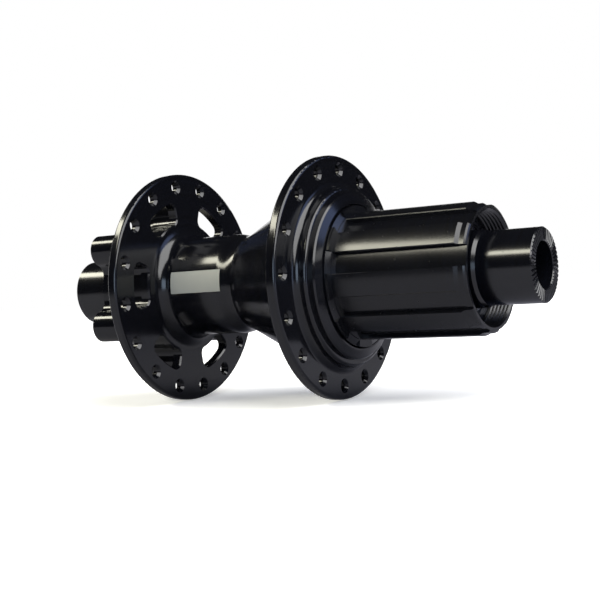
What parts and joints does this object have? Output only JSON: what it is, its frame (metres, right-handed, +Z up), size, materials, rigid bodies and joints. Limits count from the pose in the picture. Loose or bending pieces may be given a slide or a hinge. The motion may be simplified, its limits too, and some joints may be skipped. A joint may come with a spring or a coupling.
{
  "type": "bicycle rear hub",
  "caption": "Flanged rear disc-brake hub for a through axle, with a splined one-way freehub body for the cassette, cartridge bearings and push-on end caps.",
  "frame": {"origin": "on the hub axis, midway between the outer faces of the two end caps", "axes": "+Y along the hub axis from the cassette side to the disc side, +X forward on the bicycle, +Z up"},
  "size_m": [0.0672, 0.148, 0.0672],
  "materials": {
    "black_anodised": "black anodised, glossy",
    "black_steel": "black plated steel, satin",
    "axle_aluminium": "turned, satin, on the two spacers",
    "bearing_steel": "ground",
    "ball_chrome": "polished",
    "cage_nylon": "moulded nylon",
    "seal_rubber": "moulded black rubber",
    "tool_steel": "hardened, ground",
    "spring_steel": "blued spring steel",
    "etched_badge": "etched, matt"
  },
  "bodies": {
    "axle_body": {"axle": "black_anodised", "drive_end_cap": "black_anodised", "disc_end_cap": "black_anodised", "drive_o_ring": "seal_rubber", "disc_o_ring": "seal_rubber", "bearing_spacer": "axle_aluminium", "freehub_spacer": "axle_aluminium", "disc_side_inner_race": "bearing_steel", "shell_inner_race": "bearing_steel", "freehub_inner_inner_race": "bearing_steel", "freehub_outer_inner_race": "bearing_steel"},
    "shell_body": {"hub_shell": "black_anodised", "ratchet_ring": "tool_steel", "drive_dust_cover": "black_anodised", "freehub_seal": "seal_rubber", "disc_side_seal": "seal_rubber", "badge_plate": "etched_badge", "disc_side_outer_race": "bearing_steel", "disc_side_seals": "seal_rubber", "shell_outer_race": "bearing_steel", "shell_seals": "seal_rubber"},
    "freehub": {"freehub_body": "black_steel", "snap_ring": "spring_steel", "pawl_springs": "spring_steel", "freehub_inner_outer_race": "bearing_steel", "freehub_inner_seals": "seal_rubber", "freehub_outer_outer_race": "bearing_steel", "freehub_outer_seals": "seal_rubber"},
    "disc_side_cage_body": {"disc_side_cage": "cage_nylon", "disc_side_balls": "ball_chrome"},
    "shell_cage_body": {"shell_cage": "cage_nylon", "shell_balls": "ball_chrome"},
    "freehub_inner_cage_body": {"freehub_inner_cage": "cage_nylon", "freehub_inner_balls": "ball_chrome"},
    "freehub_outer_cage_body": {"freehub_outer_cage": "cage_nylon", "freehub_outer_balls": "ball_chrome"},
    "pawl_1_body": {"pawl_1": "tool_steel"},
    "pawl_2_body": {"pawl_2": "tool_steel"},
    "pawl_3_body": {"pawl_3": "tool_steel"},
    "pawl_4_body": {"pawl_4": "tool_steel"},
    "pawl_5_body": {"pawl_5": "tool_steel"},
    "pawl_6_body": {"pawl_6": "tool_steel"}
  },
  "joints": [
    {"name": "shell_spin", "type": "hinge", "parent": "axle_body", "child": "shell_body", "pos_m": [0, 0.01, 0], "axis": [0, 1, 0], "continuous": true},
    {"name": "freehub_spin", "type": "hinge", "parent": "axle_body", "child": "freehub", "pos_m": [0, -0.032, 0], "axis": [0, 1, 0], "continuous": true},
    {"name": "disc_side_cage_spin", "type": "hinge", "parent": "axle_body", "child": "disc_side_cage_body", "pos_m": [0, 0.0505, 0], "axis": [0, 1, 0], "continuous": true},
    {"name": "shell_cage_spin", "type": "hinge", "parent": "axle_body", "child": "shell_cage_body", "pos_m": [0, -0.005, 0], "axis": [0, 1, 0], "continuous": true},
    {"name": "freehub_inner_cage_spin", "type": "hinge", "parent": "axle_body", "child": "freehub_inner_cage_body", "pos_m": [0, -0.0155, 0], "axis": [0, 1, 0], "continuous": true},
    {"name": "freehub_outer_cage_spin", "type": "hinge", "parent": "axle_body", "child": "freehub_outer_cage_body", "pos_m": [0, -0.0485, 0], "axis": [0, 1, 0], "continuous": true},
    {"name": "pawl_1_swing", "type": "hinge", "parent": "freehub", "child": "pawl_1_body", "pos_m": [-0.0155, -0.0138, 0.00564], "axis": [0, -1, 0], "range_deg": [0, 17], "stiffness_Nm_per_rad": 0.0005, "springref_deg": 20.05},
    {"name": "pawl_2_swing", "type": "hinge", "parent": "freehub", "child": "pawl_2_body", "pos_m": [-0.00287, -0.0138, 0.01625], "axis": [0, -1, 0], "range_deg": [0, 17], "stiffness_Nm_per_rad": 0.0005, "springref_deg": 20.05},
    {"name": "pawl_3_swing", "type": "hinge", "parent": "freehub", "child": "pawl_3_body", "pos_m": [0.01264, -0.0138, 0.01061], "axis": [0, -1, 0], "range_deg": [0, 17], "stiffness_Nm_per_rad": 0.0005, "springref_deg": 20.05},
    {"name": "pawl_4_swing", "type": "hinge", "parent": "freehub", "child": "pawl_4_body", "pos_m": [0.0155, -0.0138, -0.00564], "axis": [0, -1, 0], "range_deg": [0, 17], "stiffness_Nm_per_rad": 0.0005, "springref_deg": 20.05},
    {"name": "pawl_5_swing", "type": "hinge", "parent": "freehub", "child": "pawl_5_body", "pos_m": [0.00287, -0.0138, -0.01625], "axis": [0, -1, 0], "range_deg": [0, 17], "stiffness_Nm_per_rad": 0.0005, "springref_deg": 20.05},
    {"name": "pawl_6_swing", "type": "hinge", "parent": "freehub", "child": "pawl_6_body", "pos_m": [-0.01264, -0.0138, -0.01061], "axis": [0, -1, 0], "range_deg": [0, 17], "stiffness_Nm_per_rad": 0.0005, "springref_deg": 20.05}
  ],
  "couplings": [
    {"joint": "disc_side_cage_spin", "follows": "shell_spin", "ratio": 0.593},
    {"joint": "shell_cage_spin", "follows": "shell_spin", "ratio": 0.593},
    {"joint": "freehub_inner_cage_spin", "follows": "freehub_spin", "ratio": 0.593},
    {"joint": "freehub_outer_cage_spin", "follows": "freehub_spin", "ratio": 0.593}
  ]
}
